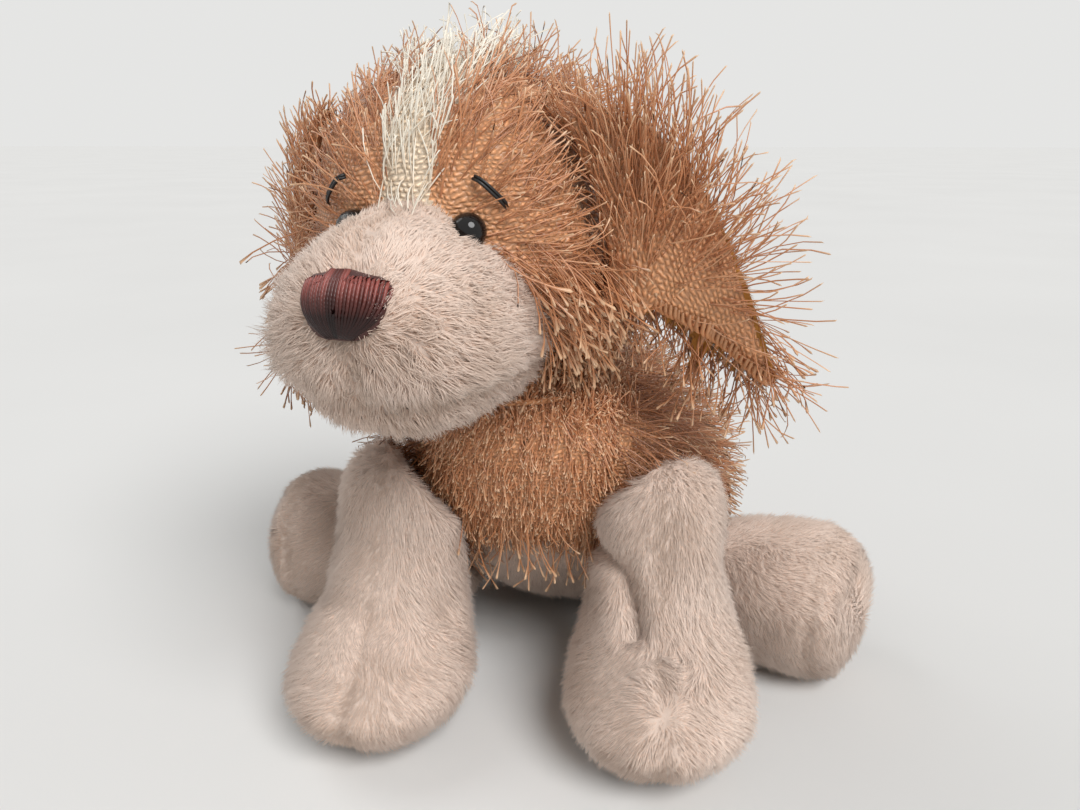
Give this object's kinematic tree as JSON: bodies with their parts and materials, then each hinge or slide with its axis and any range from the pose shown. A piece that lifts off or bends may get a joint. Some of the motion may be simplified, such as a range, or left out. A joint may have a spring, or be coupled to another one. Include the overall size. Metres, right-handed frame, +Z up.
{
  "type": "plush spaniel toy",
  "caption": "Sitting plush spaniel with shaggy tan head, ears and back, cream muzzle and legs, stitched nose, and seams that let head, ears, legs and tail bend",
  "frame": {"origin": "On the floor, under the middle of the toy's bounding box", "axes": "+Z is up, the toy faces -Y and +X is its own left side"},
  "size_m": [0.2112, 0.2034, 0.1987],
  "materials": {
    "tan_shag": "knitted cloth with long shiny yarn ends",
    "cream_shag": "knitted cloth with long shiny yarn ends",
    "cream_plush": "short soft plush pile",
    "ochre_plush": "short plush pile",
    "nose_thread": "satin embroidery thread",
    "black_thread": "satin embroidery thread",
    "seam_thread": "sewing thread",
    "eye_plastic": "polished black",
    "washer_plastic": "moulded white",
    "fibre_fill": "loose white fibre",
    "pouch_cloth": "woven cotton"
  },
  "bodies": {
    "torso": {"body_side_left": "tan_shag", "body_side_right": "tan_shag", "body_yarn_left": "tan_shag", "body_yarn_right": "tan_shag", "chest_panel": "tan_shag", "belly_panel": "cream_plush", "body_stuffing": "fibre_fill", "pellet_pouch": "pouch_cloth"},
    "neck": {"neck_seam": "seam_thread"},
    "head": {"head_side_left": "tan_shag", "head_side_right": "tan_shag", "head_gusset": "cream_shag", "head_yarn_left": "tan_shag", "head_yarn_right": "tan_shag", "blaze_yarn": "cream_shag", "muzzle_left": "cream_plush", "muzzle_right": "cream_plush", "chin_panel": "cream_plush", "nose": "nose_thread", "eye_left": "eye_plastic", "eye_right": "eye_plastic", "eye_washer_left": "washer_plastic", "eye_washer_right": "washer_plastic", "brow_left": "black_thread", "brow_right": "black_thread", "head_stuffing": "fibre_fill"},
    "ear_left": {"ear_outer_left": "tan_shag", "ear_yarn_left": "tan_shag", "ear_lining_left": "ochre_plush"},
    "ear_right": {"ear_outer_right": "tan_shag", "ear_yarn_right": "tan_shag", "ear_lining_right": "ochre_plush"},
    "front_leg_left": {"front_leg_outer_left": "cream_plush", "front_leg_inner_left": "cream_plush", "front_leg_stuffing_left": "fibre_fill"},
    "front_leg_right": {"front_leg_outer_right": "cream_plush", "front_leg_inner_right": "cream_plush", "front_leg_stuffing_right": "fibre_fill"},
    "hind_leg_left": {"hind_leg_cover_left": "cream_plush", "hind_sole_left": "cream_plush", "hind_leg_stuffing_left": "fibre_fill"},
    "hind_leg_right": {"hind_leg_cover_right": "cream_plush", "hind_sole_right": "cream_plush", "hind_leg_stuffing_right": "fibre_fill"},
    "tail": {"tail_cover": "tan_shag", "tail_stuffing": "fibre_fill"}
  },
  "joints": [
    {"name": "head_turn", "type": "hinge", "parent": "torso", "child": "neck", "pos_m": [-0.01265, -0.01355, 0.09672], "axis": [0, 0, 1], "range_deg": [-30, 30]},
    {"name": "head_nod", "type": "hinge", "parent": "neck", "child": "head", "pos_m": [-0.01265, -0.01355, 0.09672], "axis": [0.9925, -0.1219, 0], "range_deg": [-12, 8]},
    {"name": "ear_left_flap", "type": "hinge", "parent": "head", "child": "ear_left", "pos_m": [0.01613, -0.04243, 0.14972], "axis": [0.3572, 0.1612, -0.92], "range_deg": [-20, 25], "stiffness_Nm_per_rad": 0.004},
    {"name": "ear_right_flap", "type": "hinge", "parent": "head", "child": "ear_right", "pos_m": [-0.06388, -0.03261, 0.14972], "axis": [0.3076, -0.2429, 0.92], "range_deg": [-4, 35], "stiffness_Nm_per_rad": 0.004},
    {"name": "front_leg_left_swing", "type": "hinge", "parent": "torso", "child": "front_leg_left", "pos_m": [0.03635, -0.03255, 0.06], "axis": [-0.9976, -0.0698, 0], "range_deg": [-5, 40]},
    {"name": "front_leg_right_swing", "type": "hinge", "parent": "torso", "child": "front_leg_right", "pos_m": [-0.04165, -0.03255, 0.06], "axis": [-0.9976, 0.0698, 0], "range_deg": [-5, 40]},
    {"name": "hind_leg_left_swing", "type": "hinge", "parent": "torso", "child": "hind_leg_left", "pos_m": [0.04035, 0.00845, 0.025], "axis": [0, 0, 1], "range_deg": [-6, 30]},
    {"name": "hind_leg_right_swing", "type": "hinge", "parent": "torso", "child": "hind_leg_right", "pos_m": [-0.03865, 0.00845, 0.025], "axis": [0, 0, -1], "range_deg": [-6, 30]},
    {"name": "tail_wag", "type": "hinge", "parent": "torso", "child": "tail", "pos_m": [0.00635, 0.06989, 0.028], "axis": [0, 0, 1], "range_deg": [-28, 28], "stiffness_Nm_per_rad": 0.004}
  ]
}
